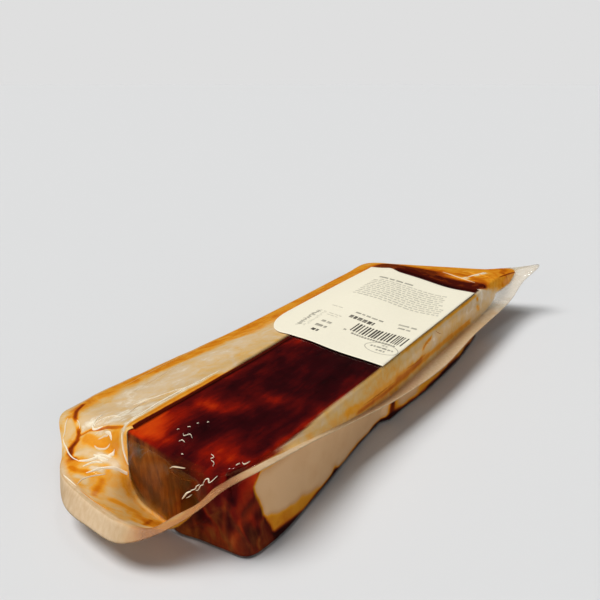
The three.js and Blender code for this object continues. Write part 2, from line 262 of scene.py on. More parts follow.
def railAt(points, turn):
    # the closed centripetal Catmull-Rom curve through points, at turn counted in stations
    points = np.array(points, float)
    first = np.floor(turn).astype(int)
    t = (turn - first)[:, None]
    p0, p1, p2, p3 = (points[(first + step) % len(points)] for step in (-1, 0, 1, 2))
    d0, d1, d2 = (np.maximum(np.linalg.norm(end - start, axis=1, keepdims=True), 1e-8) ** 0.5
                  for start, end in ((p0, p1), (p1, p2), (p2, p3)))
    t1 = ((p1 - p0) / d0 - (p2 - p0) / (d0 + d1) + (p2 - p1) / d1) * d1
    t2 = ((p2 - p1) / d1 - (p3 - p1) / (d1 + d2) + (p3 - p2) / d2) * d1
    return p1 + t1 * t + (3 * (p2 - p1) - 2 * t1 - t2) * t ** 2 + (2 * (p1 - p2) + t1 + t2) * t ** 3


def railsAt(turn):
    # edge, foot, crest, rim and base at each turn, as (n, 3) arrays
    edge, foot, crest, rim, base = (railAt(points, turn) for points in zip(*stations))
    edge = np.column_stack([edge, slabTop(edge[:, 0], edge[:, 1])])
    base[:, 0] -= np.where(base[:, 0] > 0, wallPinch(base[:, 1]), 0)
    return edge, foot, crest, rim, np.column_stack([base, np.zeros(len(base))])


# The row frame's origin is the middle of the pack's box, so the slab frame moves by that.
coarseRim = railsAt(np.arange(stationCount * 4) / 4)[3]
shift = np.append(-(coarseRim.min(0) + coarseRim.max(0))[:2] / 2, 0)

spokes = {"across": 120, "along": 160}    # of the fine meshes, on each of the two ends and the two sides


def spokeTurns(across, along):
    # evenly over the 6 stations of an end; over the 8 of a side as (v + v*v) / 2, closer towards the near end
    u, v = np.arange(across) / across, np.arange(along) / along
    onward, back = (8 * (0.5 * share + 0.5 * share ** 2) for share in (v, 1 - v))
    return np.concatenate([6 * u, 6 + onward, 14 + 6 * u, stationCount - back])


turns = spokeTurns(**spokes)
edge, foot, crest, rim, base = railsAt(turns)


def middleOf(points):
    # the place on the slab's middle line that a point of its outline faces
    x, y, z = points.T
    return np.column_stack([0 * x, np.clip(y, halfWidth, slab["length"] - halfWidth), z])


def towards(start, end, reach):
    # from start, reach of the way to end, but less than half the way
    span = np.linalg.norm(end - start, axis=1, keepdims=True)
    return start + (end - start) * np.minimum(0.45, reach / span)


def straight(start, end, count):
    # evenly spaced places between two, both ends left out
    return [mix(start, end, (step + 1) / (count + 1)) for step in range(count)]


def bent(start, bend, end, count):
    # quadratic Bezier curve, both ends left out
    shares = [(step + 1) / (count + 1) for step in range(count)]
    return [(1 - t) ** 2 * start + 2 * t * (1 - t) * bend + t * t * end for t in shares]


def rounded(before, corner, after, reach, count):
    # a corner cut off at reach to both sides and bent between
    start, end = towards(corner, before, reach), towards(corner, after, reach)
    return [start] + bent(start, corner, end, count) + [end]


def coonsGrid(loop, across, along):
    # a grid inside a closed loop of points: the sum of the two ruled surfaces between facing sides, less the
    # bilinear surface through the corners
    near = loop[:across + 1]
    right = loop[across:across + along + 1]
    far = loop[across + along:2 * across + along + 1][::-1]
    left = np.vstack([loop[2 * across + along:], loop[:1]])[::-1]
    u = np.linspace(0, 1, across + 1)[None, :, None]
    v = np.linspace(0, 1, along + 1)[:, None, None]
    sides = mix(near[None], far[None], v) + mix(left[:, None], right[:, None], u)
    return sides - mix(mix(near[0], near[-1], u), mix(far[0], far[-1], u), v)


def loopIndices(first, across, along):
    # for each place of that grid, the index of the loop point there, and -1 inside
    count = 2 * (across + along)
    grid = np.full((along + 1, across + 1), -1)
    grid[0] = first + np.arange(across + 1)
    grid[:, -1] = first + across + np.arange(along + 1)
    grid[-1] = first + 2 * across + along - np.arange(across + 1)
    grid[1:, 0] = first + count - np.arange(1, along + 1)
    return grid


def gridFaces(index):
    # one face for each cell of a grid of point indices
    return np.stack([index[:-1, :-1], index[:-1, 1:], index[1:, 1:], index[1:, :-1]], -1).reshape(-1, 4)


def closedSkin(rings, topHeight, bottomHeight):
    # rings of points from the upper face's border outwards and back under to the lower face's border, joined,
    # with both faces filled by Coons grids
    ringCount, spokeCount = rings.shape[:2]
    index = np.arange(ringCount * spokeCount).reshape(ringCount, spokeCount)
    index = np.column_stack([index, index[:, 0]])
    points, faces = [rings.reshape(-1, 3)], [gridFaces(index)[:, ::-1]]
    total = ringCount * spokeCount
    for ring, height, upward in ((0, topHeight, True), (ringCount - 1, bottomHeight, False)):
        grid = coonsGrid(rings[ring], **spokes)
        grid[..., 2] = height(grid[..., 0], grid[..., 1])
        places = loopIndices(ring * spokeCount, **spokes)
        inner = places < 0
        places[inner] = total + np.arange(inner.sum())
        total += inner.sum()
        points.append(grid[inner])
        quads = gridFaces(places)
        faces.append(quads if upward else quads[:, ::-1])
    return np.vstack(points), np.vstack(faces)


def sheetBody(under, over):
    # a thin closed body between two grids of points of the same shape
    count = under.shape[0] * under.shape[1]
    index = np.arange(count).reshape(under.shape[:2])
    border = np.concatenate([index[0, :-1], index[:-1, -1], index[-1, :0:-1], index[:0:-1, 0]])
    following = np.roll(border, -1)
    side = np.column_stack([border, following, following + count, border + count])
    faces = np.vstack([gridFaces(index)[:, ::-1], gridFaces(index + count), side])
    return np.vstack([under.reshape(-1, 3), over.reshape(-1, 3)]), faces


def joined(bodies):
    # several bodies as one list of points and one of faces
    starts = np.cumsum([0] + [len(points) for points, _ in bodies])
    faces = [bodyFaces + start for (_, bodyFaces), start in zip(bodies, starts)]
    return np.vstack([points for points, _ in bodies]), np.vstack(faces)


def addPoints(mesh, points):
    # points of the slab's frame, put into a mesh in the row frame
    mesh.vertices.add(len(points))
    mesh.vertices.foreach_set("co", ((points + shift) * mm).astype(np.float32).ravel())


def makePiece(name, points, faces, material, fields, replaced=()):
    # a mesh object; fields are numbers per vertex that the material reads by name
    mesh = bpy.data.meshes.new(name)
    addPoints(mesh, points)
    mesh.loops.add(faces.size)
    mesh.loops.foreach_set("vertex_index", faces.astype(np.int32).ravel())
    mesh.polygons.add(len(faces))
    mesh.polygons.foreach_set("loop_start", np.arange(0, faces.size, faces.shape[1], dtype=np.int32))
    mesh.update(calc_edges=True)
    mesh.validate()
    mesh.polygons.foreach_set("use_smooth", np.ones(len(faces), bool))
    for field, values in fields.items():
        attribute = mesh.attributes.new(field, "FLOAT", "POINT")
        attribute.data.foreach_set("value", values.astype(np.float32).ravel())
    mesh.materials.append(material)
    piece = bpy.data.objects.new(name, mesh)
    bpy.context.scene.collection.objects.link(piece)
    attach(piece, "root")
    for node in replaced:
        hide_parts(node)
    print(f"{name}: {len(points)} points, {len(faces)} faces")
    return piece


# for each view, the axis that it looks along and the place on that axis where points fall from
fallFrom = {"plan": (2, 80), "front": (1, -70), "side": (0, 80)}


def dropOnto(target, u, v, view):
    # where points seen at u and v in a view come to rest when they fall onto a piece, found with a shrinkwrap
    axis, start = fallFrom[view]
    points = np.full(u.shape + (3,), float(start))
    points[..., [other for other in range(3) if other != axis]] = np.stack([u, v], -1)
    mesh = bpy.data.meshes.new("falling")
    addPoints(mesh, points.reshape(-1, 3))
    faller = bpy.data.objects.new("falling", mesh)
    bpy.context.scene.collection.objects.link(faller)
    wrap = faller.modifiers.new("onto", "SHRINKWRAP")
    wrap.target, wrap.wrap_method = target, "PROJECT"
    wrap.use_project_x, wrap.use_project_y, wrap.use_project_z = (axis == other for other in range(3))
    wrap.use_negative_direction, wrap.use_positive_direction = start > 0, start < 0
    rested = np.empty(points.size, np.float32)
    faller.evaluated_get(bpy.context.evaluated_depsgraph_get()).data.vertices.foreach_get("co", rested)
    bpy.data.objects.remove(faller)
    bpy.data.meshes.remove(mesh)
    return rested.reshape(points.shape) / mm - shift


def toLinear(hexText):
    # an sRGB hex value as linear red, green, blue and alpha
    parts = [int(hexText[i:i + 2], 16) / 255 for i in (1, 3, 5)]
    return tuple(p / 12.92 if p <= 0.04045 else ((p + 0.055) / 1.055) ** 2.4 for p in parts) + (1.0,)


def addNode(tree, kind, inputs=None, **settings):
    # one shader node with its settings, where stops are a colour ramp's. An input is a value, a socket to
    # link from, or a node, whose first output in use is linked
    node = tree.nodes.new("ShaderNode" + kind)
    for name, value in settings.items():
        if name == "stops":
            for place, tone in value[1:-1]:
                node.color_ramp.elements.new(place)
            for element, (place, tone) in zip(node.color_ramp.elements, value):
                element.position, element.color = place, toLinear(tone)
        else:
            setattr(node, name, value)
    for key, value in (inputs or {}).items():
        if isinstance(value, bpy.types.Node):
            value = next(socket for socket in value.outputs if socket.enabled)
        if isinstance(value, bpy.types.NodeSocket):
            tree.links.new(value, node.inputs[key])
        else:
            node.inputs[key].default_value = value
    return node


def newMaterial(name):
    # a material without nodes, and the function that adds them to it
    material = bpy.data.materials.new(name)
    material.use_nodes = True
    material.node_tree.nodes.clear()
    return material, partial(addNode, material.node_tree)


def patternScale(size):
    # a pattern's scale, from the size of its details in millimetres, one for all axes or one for each
    return 1 / (np.array(size) * mm)


meat = {
    "inset": 0.5,               # below the film
    "sideGap": 0.45,            # behind the film on the right side
    "floorGap": 0.35,
    "topRounding": 1.3,
    "fatTop": 24.4,             # height where the fat of the right side ends
    # heights, and how far along the fat of the right side begins at each
    "fatEdge": ([0, 2, 6, 8, 12, 16, 19, 22, 27], [10.5, 9.4, 8.3, 7.1, 7.3, 6.4, 6.3, 9, 13]),
    # where the glaze is thin and red, or below 0 thick and dark: place, reach across, reach along, strength
    "glazePatches": [
        (-19, 8, 7, 9, 0.6), (-12, 2, 9, 4, 0.36), (-10, 25, 6, 3.2, 0.34), (-4, 31, 5, 4, 0.2),
        (3, 40, 5, 4, 0.26), (13, 6.5, 8, 4.2, 0.3), (22, 14, 2.2, 12, 0.5), (22.4, 40, 2, 24, 0.36),
        (10, 67, 8, 7, 0.1), (-19, 60, 3, 22, 0.12), (-16, 84, 4, 7, 0.16), (17, 80, 6, 8, 0.14),
        (-3, 14, 5, 5, -0.2), (4, 22, 6, 6, -0.16), (-12, 40, 5, 9, -0.14), (4, 55, 12, 10, -0.14),
        (12, 80, 10, 14, -0.14)],
    "blotch": 9.09,                      # size of the thicker and thinner places of the glaze
    "streak": (3.03, 11.76, 11.76),      # size of the lean's streaks across and along the slab
    "streakTurn": 0.35,                  # radians
    "fibre": (3.846, 3.846, 14.29),      # size of the cut end's fibres across and down
    "glazeTones": [(0.0, "#1c0406"), (0.24, "#320609"), (0.46, "#560b09"), (0.64, "#861405"),
                   (0.82, "#b83006"), (1.0, "#c84209")],
    "fibreTones": [(0.34, "#3a1208"), (0.45, "#5f2711"), (0.53, "#7c3a14"), (0.62, "#8d4a1c"),
                   (0.74, "#9c6a3a")],
    "fatTones": [(0.0, "#d8b084"), (0.26, "#cc9f70"), (0.46, "#d8921e"), (0.62, "#bd640c"),
                 (0.76, "#7c2c07"), (1.0, "#2b0805")],
}


def makeSmokedPork():
    # pork belly, cured, glazed and smoked: lean that has gone mahogany under a wet glaze, brown cut fibres at
    # the near end, and pale fat on the right side, stained by the glaze at its edges
    material, add = newMaterial("smoked pork belly, glazed")
    place = add("TexCoord").outputs["Object"]
    fat, stain, cut, glow = (add("Attribute", attribute_name=name).outputs["Fac"]
                             for name in ("fat", "stain", "cut", "glow"))
    blotch = add("TexNoise", {"Vector": place, "Scale": patternScale(meat["blotch"]), "Detail": 6,
                              "Roughness": 0.6})
    lie = add("Mapping", {"Vector": place, "Rotation": (0, 0, meat["streakTurn"]),
                          "Scale": patternScale(meat["streak"])})
    streak = add("TexNoise", {"Vector": lie, "Scale": 1, "Detail": 5, "Distortion": 0.6})
    # how light the glaze's tone is: 0.5 blotch + 0.45 streak - 0.36, plus the thin glaze and the painted
    # light read from the mesh
    glazeLevel = add("Math", {0: blotch, 1: 0.5, 2: -0.36}, operation="MULTIPLY_ADD")
    glazeLevel = add("Math", {0: streak, 1: 0.45, 2: glazeLevel}, operation="MULTIPLY_ADD")
    glazeLevel = add("Math", {0: glazeLevel, 1: glow}, operation="ADD", use_clamp=True)
    glaze = add("ValToRGB", {"Fac": glazeLevel}, stops=meat["glazeTones"])
    # fibres that hang down the cut end, mottled by the same blotches
    hang = add("Mapping", {"Vector": place, "Scale": patternScale(meat["fibre"])})
    fibre = add("TexNoise", {"Vector": hang, "Scale": 1, "Detail": 6, "Distortion": 1.4})
    mottle = add("Math", {0: blotch, 1: 0.45}, operation="MULTIPLY")
    fibre = add("Math", {0: fibre, 1: 0.55, 2: mottle}, operation="MULTIPLY_ADD")
    fibres = add("ValToRGB", {"Fac": fibre}, stops=meat["fibreTones"])
    # fat, its stain broken up by the blotches
    juicy = add("Math", {0: blotch, 1: 0.5, 2: -0.25}, operation="MULTIPLY_ADD", use_clamp=True)
    juicy = add("Math", {0: juicy, 1: stain}, operation="ADD", use_clamp=True)
    fats = add("ValToRGB", {"Fac": juicy}, stops=meat["fatTones"])
    lean = add("Mix", {"Factor": cut, "A": glaze, "B": fibres}, data_type="RGBA")
    colour = add("Mix", {"Factor": fat, "A": lean, "B": fats}, data_type="RGBA")
    relief = add("Bump", {"Height": streak, "Strength": 0.3, "Distance": 0.5 * mm})
    skin = add("BsdfPrincipled", {"Base Color": colour, "Roughness": 0.4, "IOR": 1.4,
                                  "Specular IOR Level": 0.08, "Normal": relief})
    add("OutputMaterial", {"Surface": skin})
    return material


def meatRings():
    # the slab's section at each spoke: its upper edge rounded, a straight wall, its lower edge rounded
    inset, up = meat["inset"], np.array([0, 0, 1.0])
    top = towards(edge, middleOf(edge), inset) - inset * up
    bottom = towards(base, middleOf(base), inset) + meat["floorGap"] * up
    crown = rounded(middleOf(top), top, bottom, meat["topRounding"], 5)
    sole = rounded(top, bottom, middleOf(bottom), slab["footRounding"], 3)
    rings = np.array(crown + straight(crown[-1], sole[0], 30) + sole)
    # the film's wall at each height: straight from the edge to the foot, then curved to the base
    height, footHeight = rings[..., 2:], foot[:, 2:]
    above = mix(foot, edge, clamp01((height - footHeight) / (edge[:, 2:] - footHeight)))
    down = np.sqrt(clamp01((footHeight - height) / np.maximum(footHeight - 2.3, 1)))
    filmWall = np.where(height > footHeight, above, mix(foot, base, 2 * down - down ** 2))
    # the meat's right side stays behind that wall, and its near side lies against it
    behind = np.minimum(rings[..., 0], filmWall[..., 0] - meat["sideGap"])
    rings[..., 0] = np.where((turns > 6) & (turns < 13), behind, rings[..., 0])
    wall = slice(len(crown), -len(sole))
    against = np.minimum(rings[wall, :, 1], filmWall[wall, :, 1] + inset)
    rings[wall, :, 1] = np.where(turns < 6, against, rings[wall, :, 1])
    return rings


def fatFields(x, y, z):
    # fat: 1 on the right side, past its wavy beginning and below its top. stain: from 0, bare fat, over amber
    # to 1, burnt glaze, as the sum of the places where juice and glaze lie on it
    wobble, drip = clouds(y, z, 9, 5), clouds(y, z, 14, 61)
    fatTop = meat["fatTop"]
    fatStart = np.interp(z, *meat["fatEdge"]) + 0.8 * wobble
    fat = ease(16, 20, x) * ease(-0.5, 0.5, y - fatStart) * ease(fatTop - 0.2, fatTop - 1.2, z)
    amberTop = mix(2.6, 9.0, ease(46, 8, y))
    amber = ease(amberTop + 1.2, amberTop - 1.4, z - 1.8 * wobble)
    pooled = ease(2.6, 0.8, z - 1.4 * drip - 1.4 * ease(26, 10, y))       # juice along the lower edge
    stain = 0.52 * amber + mix(0.6, 0.25, ease(90, 110, y)) * pooled + 0.12 * wobble
    stain += 0.5 * bump(y - fatStart, 0.8)                                # a line where the fat begins
    stain += 0.5 * ease(fatTop - 5.5, fatTop - 1, z - wobble) * ease(56, 16, y)      # glaze from above
    stain += 0.9 * bump(y - 90.5 - 0.1 * z, 1.5) * ease(16, 9, z)         # two dark marks low on the wall, where the film folds
    stain += 0.8 * bump(y - 47, 1.8) * ease(6.5, 1, z)
    farther = 0.1 + 0.42 * ease(101, 93, y) + 0.14 * ease(7, 1, z) + 0.34 * ease(108, 116, y)
    stain += ease(90, 93, y) * farther
    return fat, stain


def leanFields(x, y, z):
    # tone of the glaze: how thin and red it is, as clouds plus its patches, lighter towards the near end.
    # cut: 1 where the near end's fibres show. Below the seal of the near right corner both follow the folds
    # of a juicy film instead, and there the glaze's tone is painted light: light through the folds' thin
    # sides and two lit streaks
    glow = 0.18 + 0.07 * ease(60, 40, y) + 0.22 * clouds(x * 1.5, y * 0.6, 20, 11)
    glow += 0.1 * clouds(x * 2.4 + y, y * 0.5, 9, 15)
    for patchX, patchY, across, along, strength in meat["glazePatches"]:
        glow += strength * bump(np.hypot((x - patchX) / across, (y - patchY) / along), 1)
    cut = ease(0.8, -0.6, y) * ease(25.9, 24.8, z) * ease(10, -3, x + 0.7 * (z - 13))
    juicy = ease(21, 15, z) * ease(-2, 8, x) * ease(14, 6, y)
    folded = clouds(0.8 * (x + y) + 0.45 * z, 0.2 * (x + y) - 0.5 * z, 6, 17)
    pleat = bump(folded, 0.13)      # the thin sides of the folds let the light through
    # painted light: two lit streaks down the folds of the near right corner
    lit = bump(x + 0.35 * (12 - z) - 22.4, 1.4) + 0.7 * bump(x + 0.1 * (12 - z) - 17.5, 0.7)
    glow = mix(glow, 0.16 + 0.3 * np.maximum(folded, -0.3) + 0.3 * pleat + 0.34 * lit, juicy)
    brown = 0.6 * bump(folded - 0.12, 0.12) + 0.4 * ease(12, 4, z) + 0.35 * lit
    return glow, np.maximum(cut, juicy * brown)


def makeMeat():
    # the rings closed by a top that runs below the film's and by a flat underside
    points, faces = closedSkin(meatRings(), lambda x, y: slabTop(x, y) - meat["inset"],
                               lambda x, y: 0 * x + meat["floorGap"])
    fat, stain = fatFields(*points.T)
    glow, cut = leanFields(*points.T)
    fields = {"fat": fat, "stain": stain, "cut": cut, "glow": glow}
    makePiece("pork_slab", points, faces, makeSmokedPork(), fields, ["vacuum_pack"])


makeMeat()

film = {
    "speck": 3.03,                       # size of the flecks of fat
    "smear": 8.333,                      # size of the smears of juice
    "rib": (1.111, 1.111, 16.67),        # the sealing bar's ribs: apart, and down from the pack
    "weldTones": ("#c5a279", "#e0c8a6"),
    "juiceTones": [(0.0, "#fff4da"), (0.15, "#e4c8a0"), (0.3, "#e6ba72"), (0.45, "#eea22c"),
                   (0.6, "#d97a0e"), (0.78, "#a04208"), (1.0, "#4a0f05")],
    "lightThrough": 0.08,                # share of the light that the cloudy film lets through
    "mostSheen": 0.22,
    # juice and fat between the films, and a few painted highlights, as soft strokes in the view from above,
    # the front
    # or the right side: path, half width, lift, cloudiness, tone from 0, white fat or painted highlight, to
    # 1, dark juice
    "stainsAndPaintedHighlights": {
        "plan": [
            ([(-23.4, 2), (-23.6, 12), (-23.7, 26), (-23.4, 44)], 0.9, 0.0, 0.9, 0.54),
            # painted highlights, whitish: a line along the slab's left edge and the bright facets of the near
            # left web
            ([(-25.6, 5), (-26.2, 14), (-26.2, 24), (-25.4, 36)], 0.5, 0.3, 0.95, 0.0),
            ([(-34.6, -4.8), (-32.2, -3.2)], 1.0, 0.4, 0.94, 0.03),
            ([(-30.4, -3.6), (-28, -2.4), (-25.6, -2.8)], 1.3, 0.3, 0.94, 0.08),
            ([(-30.6, -8), (-28, -6.6)], 0.8, 0.3, 0.94, 0.1),
            ([(-34, -0.8), (-32, 0)], 0.7, 0.3, 0.94, 0.12),
            ([(-38, 214), (-32, 206), (-22, 206), (-10, 204)], 7.0, 0.0, 1.0, 0.94),
            ([(-40, 206), (-33, 199), (-24, 192)], 4.5, 0.0, 0.94, 0.92),
            # painted highlight: a pale glint on the far right tent
            ([(10.6, 207), (12.6, 214), (15, 223)], 1.7, 0.4, 0.94, 0.08),
            ([(4, 214), (12, 211), (19, 206)], 2.2, 0.0, 0.94, 0.66),
            ([(17, 243), (22, 238), (23.4, 229)], 1.5, 0.0, 0.94, 0.68),
            ([(-46, -0.5), (-43.4, 2), (-36.6, 3.3), (-27, 2.2)], 0.5, -0.3, 0.95, 0.72),
            ([(-62.5, 14), (-60.3, 9.6), (-56.3, 5.8), (-50.3, 2.4), (-47.5, 0.6), (-44.9, -2.3)],
             0.7, -0.2, 1.0, 0.84),
            ([(-44.9, -2.3), (-44.1, -5.3), (-42.2, -7.2), (-38.5, -8.4)], 0.85, -0.2, 1.0, 0.92),
            ([(-42, -0.6), (-37, -1), (-32, 0), (-28.4, 0.3)], 1.9, 0.3, 0.92, 0.5),
            ([(-39.2, -6.6), (-37.5, -4.9), (-34.7, -4.2)], 1.3, 0.2, 0.92, 0.2),
            ([(-51, 5), (-50, 10), (-49, 15)], 2.6, 0.0, 0.9, 0.2),
            ([(-57.5, 3.6), (-54, 2), (-51, -0.6)], 1.4, 0.0, 0.9, 0.24),
            ([(-25.5, -8.6), (-23.2, -12.4), (-20.6, -15.6)], 0.8, 0.0, 0.92, 0.58),
            ([(-35.5, -12), (-33, -11.8), (-31, -10)], 0.9, 0.0, 0.92, 0.58),
            ([(-31, -13.5), (-28.5, -12.2), (-27, -13.6)], 0.8, 0.0, 0.92, 0.2),
            ([(-22, -9), (-20, -11), (-18.5, -9)], 1.0, 0.0, 0.92, 0.26),
            ([(-17.5, -11.6), (-14.6, -10), (-11, -8.8)], 1.4, 0.0, 0.92, 0.5),
            ([(0, -16), (-2.4, -12.5), (-5.6, -8)], 0.5, 0.0, 0.92, 0.7),
            ([(-15.5, -6.4), (-11.4, -6.2), (-8, -5.2)], 1.3, 0.0, 0.92, 0.36),
            ([(-2, -17.5), (4, -14), (8, -9.5)], 1.6, 0.0, 0.92, 0.22),
        ],
        "front": [
            ([(-0.5, 22.2), (3, 23.6), (7, 24), (10.5, 23.4)], 1.7, 0.4, 0.1, 0.86),
        ],
        "side": [
            ([(54, 21), (64, 18.8), (75, 18), (88, 17.6), (108, 17.4)], 1.5, 0.0, 0.9, 0.46),
            ([(62, 17.2), (75, 16.4), (83, 15.6), (93, 15.6)], 0.7, 0.0, 0.95, 0.68),
            ([(94, 16.4), (102, 15.6), (110, 15.9), (118, 16.4)], 1.4, 0.0, 0.95, 0.68),
            ([(120, 15.6), (144, 15.2), (161, 14.8), (176, 15)], 1.1, 0.0, 0.9, 0.5),
            ([(119, 20.8), (122, 22.2), (127, 22.8)], 0.8, 0.0, 0.9, 0.6),
            ([(98, 26), (130, 25.8), (160, 25.6), (184, 25.8)], 0.5, 0.0, 0.9, 0.46),
            ([(185, 24), (186, 19), (186.6, 14.5)], 0.8, 0.0, 0.9, 0.56),
        ],
    },
    "ripples": [              # soft, low ripples of the clear film over the glaze: path, half width
        ([(-14, 10.4), (-7.9, 18.2), (-3, 21.4), (3, 23.8)], 0.9),
        ([(6, 7), (7.5, 14.4), (8.3, 22), (11.8, 27.7)], 0.9),
        ([(10, 8.4), (12.3, 14.6), (14.2, 19.4), (19.6, 30)], 0.8),
        ([(3.7, 22.8), (13, 31.4), (20, 43.8), (22.6, 50)], 1.2), ([(-4, 27), (5, 40), (14.8, 52.3)], 1.4),
        ([(-12, 21.5), (-5, 36.5), (-0.8, 45)], 1.2), ([(16.2, 14), (20, 24)], 0.8),
        ([(-16, 44), (-7, 62), (0, 78)], 1.4), ([(6, 50), (13, 64), (18, 76)], 1.5)],
}


def makeClearFilm():
    # coextruded nylon and polythene pouch film, heat sealed: clear and glossy, clouded by the fat and the
    # juice that lie between the two films, milky at the weld, and whitish where highlights are painted on its
    # folds
    material, add = newMaterial("pouch film, clear nylon and polythene")
    place = add("TexCoord").outputs["Object"]
    milk, juice, patchy, weld = (add("Attribute", attribute_name=name).outputs["Fac"]
                                 for name in ("milk", "juice", "patchy", "weld"))
    speck = add("TexNoise", {"Vector": place, "Scale": patternScale(film["speck"]), "Detail": 6,
                             "Roughness": 0.7})
    smear = add("TexNoise", {"Vector": place, "Scale": patternScale(film["smear"]), "Detail": 5,
                             "Distortion": 1.2})
    # tone of what lies between the films: juice + patchy * (0.75 smear + 0.5 speck - 0.62)
    loose = add("Math", {0: smear, 1: 0.75, 2: -0.62}, operation="MULTIPLY_ADD")
    loose = add("Math", {0: speck, 1: 0.5, 2: loose}, operation="MULTIPLY_ADD")
    loose = add("Math", {0: loose, 1: patchy}, operation="MULTIPLY")
    tone = add("Math", {0: loose, 1: juice}, operation="ADD", use_clamp=True)
    between = add("ValToRGB", {"Fac": tone}, stops=film["juiceTones"])
    down = add("Mapping", {"Vector": place, "Scale": patternScale(film["rib"])})
    rib = add("TexNoise", {"Vector": down, "Scale": 1, "Detail": 2})
    furrow, ridge = (toLinear(tone) for tone in film["weldTones"])
    sealed = add("Mix", {"Factor": rib, "A": furrow, "B": ridge}, data_type="RGBA")
    colour = add("Mix", {"Factor": weld, "A": between, "B": sealed}, data_type="RGBA")
    relief = add("Bump", {"Height": smear, "Strength": 0.2, "Distance": 0.4 * mm})
    haze = add("BsdfDiffuse", {"Color": colour, "Normal": relief})
    through = add("BsdfTranslucent", {"Color": colour, "Normal": relief})
    cloudy = add("MixShader", {0: film["lightThrough"], 1: haze, 2: through})
    body = add("MixShader", {0: milk, 1: add("BsdfTransparent"), 2: cloudy})
    gloss = add("BsdfGlossy", {"Roughness": 0.06, "Normal": relief})
    grazing = add("Fresnel", {"IOR": 1.5, "Normal": relief})
    sheen = add("Math", {0: grazing, 1: film["mostSheen"]}, operation="MINIMUM")
    surface = add("MixShader", {0: sheen, 1: body, 2: gloss})
    add("OutputMaterial", {"Surface": surface})
    return material


def distanceTo(path, x, y):
    # least distance from each point to the pieces of a path
    path = np.array(path, float)
    least = np.full(x.shape, np.inf)
    for start, end in zip(path[:-1], path[1:]):
        run = end - start
        share = clamp01(((x - start[0]) * run[0] + (y - start[1]) * run[1]) / (run @ run))
        least = np.minimum(least, np.hypot(x - start[0] - share * run[0], y - start[1] - share * run[1]))
    return least


def pouchRings():
    # the lid from the slab's edge over the foot and the crest to the rim, then the pocket film back under.
    # Also how far out each ring is, 0 at the slab's edge, 1 at the foot, 2 at the crest, 3 at the rim, and
    # how many rings the lid has
    gap = np.array([0, 0, -pouch["filmGap"]])
    wallCount, webCount = 12, 28
    crown = rounded(middleOf(edge), edge, foot, slab["topRounding"], 4)
    instep = rounded(edge, foot, crest, 1.5, 3)
    ridge = rounded(foot, crest, rim, 1.8, 3)
    lid = (crown + straight(crown[-1], instep[0], wallCount) + instep
           + straight(instep[-1], ridge[0], webCount) + ridge + straight(ridge[-1], rim, 6) + [rim])
    lowerRim, lowerCrest, lowerFoot = rim + gap, crest + gap, foot + gap
    tuckedIn = np.column_stack([base[:, :2], lowerFoot[:, 2]])
    wallFoot = np.column_stack([base[:, :2], np.minimum(1.4 * slab["footRounding"], 0.6 * lowerFoot[:, 2])])
    bottom = towards(base, middleOf(base), slab["footRounding"])
    pocket = ([lowerRim] + straight(lowerRim, lowerCrest, 3) + [lowerCrest]
              + straight(lowerCrest, lowerFoot, 8) + [lowerFoot] + bent(lowerFoot, tuckedIn, wallFoot, 8)
              + [wallFoot] + bent(wallFoot, base, bottom, 2) + [bottom])
    toFoot, toCrest = len(crown) + wallCount + 2, webCount + 5
    toRim = len(lid) - toFoot - toCrest
    out = np.concatenate([np.linspace(0, 1, toFoot), np.linspace(1, 2, toCrest + 1)[1:],
                          np.linspace(2, 3, toRim + 1)[1:], np.linspace(3, 2, 5), np.linspace(2, 1, 10)[1:],
                          np.linspace(1, 0, len(pocket) - 14)])
    return np.array(lid + pocket), out, len(lid)


def filmSides(s):
    # shares of the left, near, far and right side at a turn, which pass into each other at the corners
    left = ease(19.6, 20.4, s) * ease(28, 27.55, s)
    near = clamp01(ease(27.55, 28, s) + ease(6.2, 5.6, s))
    far = ease(13.4, 14.2, s) * ease(20.4, 19.6, s)
    right = ease(5.8, 6.6, s) * ease(14.2, 13.4, s)
    return left, near, far, right


def filmMilk(y, out, s):
    # 0, clear, over the slab, and cloudy further out than start, which differs from side to side
    left, near, far, right = filmSides(s)
    nearCorner = ease(0.42, 0.16, s) + ease(27.5, 27.6, s)      # film that stands off the near left edge
    start = (mix(0.98, -0.1, nearCorner) * near + mix(-0.1, 0.09, ease(36, 60, y)) * left
             - 0.1 * far + (0.1 + 0.14 * ease(47, 20, y)) * right)
    soft = 0.04 + 0.05 * left + 0.12 * near * (1 - nearCorner)
    return ease(start - soft, start + soft, out) * (0.88 * left + near + far + 0.86 * right * ease(14, 24, y))


def filmJuice(x, y, out, s):
    # tone of what lies between the films: each side's own run from the slab outwards, plus clouds, less a
    # spot of painted light in the shaded near gutter
    left, near, far, right = filmSides(s)
    amberFrom = mix(1.62, 0.92, ease(36, 120, y)) + 0.22 * clouds(x, y, 16, 35)
    juice = left * (0.19 + 0.32 * ease(amberFrom - 0.15, amberFrom + 0.2, out))
    juice += near * mix(0.44, 0.36, ease(1.5, 1.9, out))
    juice += far * (0.5 + 0.5 * ease(0.62, 0.34, out) + 0.1 * ease(14.4, 13.8, s) * ease(1.0, 1.4, out))
    juice += right * (0.19 + 0.2 * bump(y - 82, 22) + 0.08 * ease(0.5, 0.9, out) - 0.05 * ease(190, 215, y))
    # painted light: less juice in a soft spot round (-14, -9) lightens the shaded near gutter
    juice += 0.12 * clouds(x, y, 26, 31) - 0.12 * bump(np.hypot(x + 14, y + 9), 7)
    edgeLine = left * ease(mix(0.08, 0.05, ease(36, 60, y)), 0.0, out)      # dark along the slab's left edge
    return mix(juice, 1.05, edgeLine)


